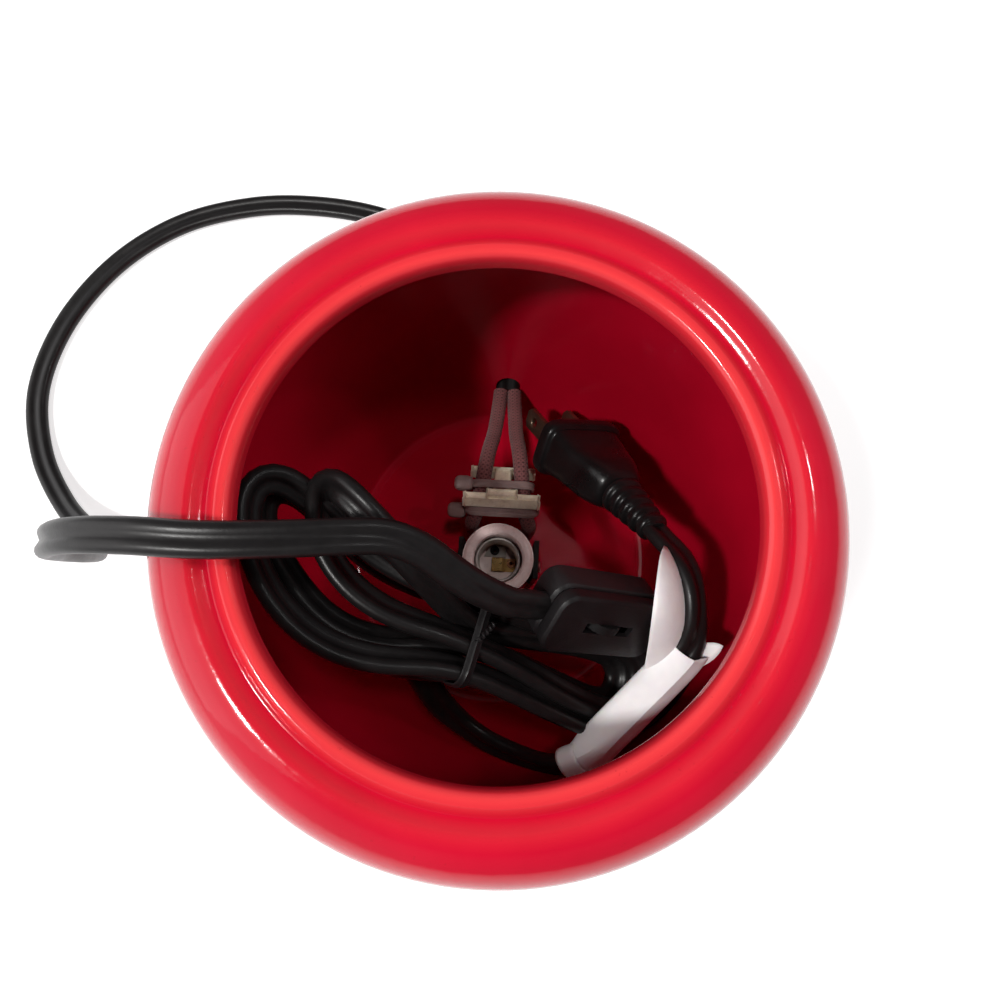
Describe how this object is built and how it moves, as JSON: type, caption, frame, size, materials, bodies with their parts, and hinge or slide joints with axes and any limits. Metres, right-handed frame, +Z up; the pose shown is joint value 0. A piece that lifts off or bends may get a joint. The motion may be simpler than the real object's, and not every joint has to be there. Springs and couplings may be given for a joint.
{
  "type": "electric wax warmer",
  "caption": "Glazed ceramic pot with a lamp holder on a steel saddle inside, sleeved leads, and a flat cord with an inline thumbwheel switch, a tied hank and a plug.",
  "frame": {"origin": "centre of the pot on the table, at the bottom of its rubber feet", "axes": "+Z up, +Y towards the hole where the cord leaves the pot, +X to the right seen from the front"},
  "size_m": [0.2391, 0.2007, 0.1196],
  "materials": {
    "red_glaze": "glossy red glaze",
    "rubber": "matt black rubber",
    "black_steel": "black painted sheet steel",
    "zinc": "zinc plated steel",
    "fibre": "red-brown pressed fibre",
    "porcelain": "white porcelain",
    "shell_metal": "nickel plated sheet",
    "brass": "plain brass",
    "copper": "plain copper",
    "glass_sleeve": "braided glass sleeving",
    "cream_plastic": "cream moulded plastic",
    "nylon": "natural nylon",
    "cord_black": "black soft plastic cord jacket",
    "moulded_black": "black moulded plastic",
    "label_paper": "white coated paper"
  },
  "bodies": {
    "warmer": {"ceramic_body": "red_glaze", "foot_pad_1": "rubber", "foot_pad_2": "rubber", "foot_pad_3": "rubber", "foot_pad_4": "rubber", "lamp_bracket": "black_steel", "bracket_screw": "zinc", "bracket_washer": "fibre", "bracket_nut": "zinc", "lamp_holder": "porcelain", "holder_screw_left": "zinc", "holder_screw_right": "zinc", "screw_shell": "shell_metal", "shell_terminal": "shell_metal", "shell_rivet": "copper", "centre_contact": "brass", "contact_rivet": "copper", "wire_sleeve_left": "glass_sleeve", "wire_sleeve_right": "glass_sleeve", "lead_wire_left": "copper", "lead_wire_right": "copper", "strain_relief_plate": "cream_plastic", "cable_tie_upper": "nylon", "cable_tie_lower": "nylon", "cord_outer_run": "cord_black", "cord_hank": "cord_black", "cord_tail": "cord_black", "hank_tie": "moulded_black", "switch_lower_housing": "moulded_black", "switch_upper_housing": "moulded_black", "switch_axle": "zinc", "switch_contact_left": "brass", "switch_contact_right": "brass", "switch_screw_left": "zinc", "switch_screw_right": "zinc", "cord_label": "label_paper", "plug_body": "moulded_black", "plug_insert": "moulded_black", "plug_blade_left": "brass", "plug_blade_right": "brass"},
    "thumbwheel": {"switch_thumbwheel": "moulded_black"}
  },
  "joints": [
    {"name": "thumbwheel_turn", "type": "hinge", "parent": "warmer", "child": "thumbwheel", "pos_m": [0.02431, -0.01926, 0.08174], "axis": [0.3732, 0.7492, 0.5471], "continuous": true}
  ]
}
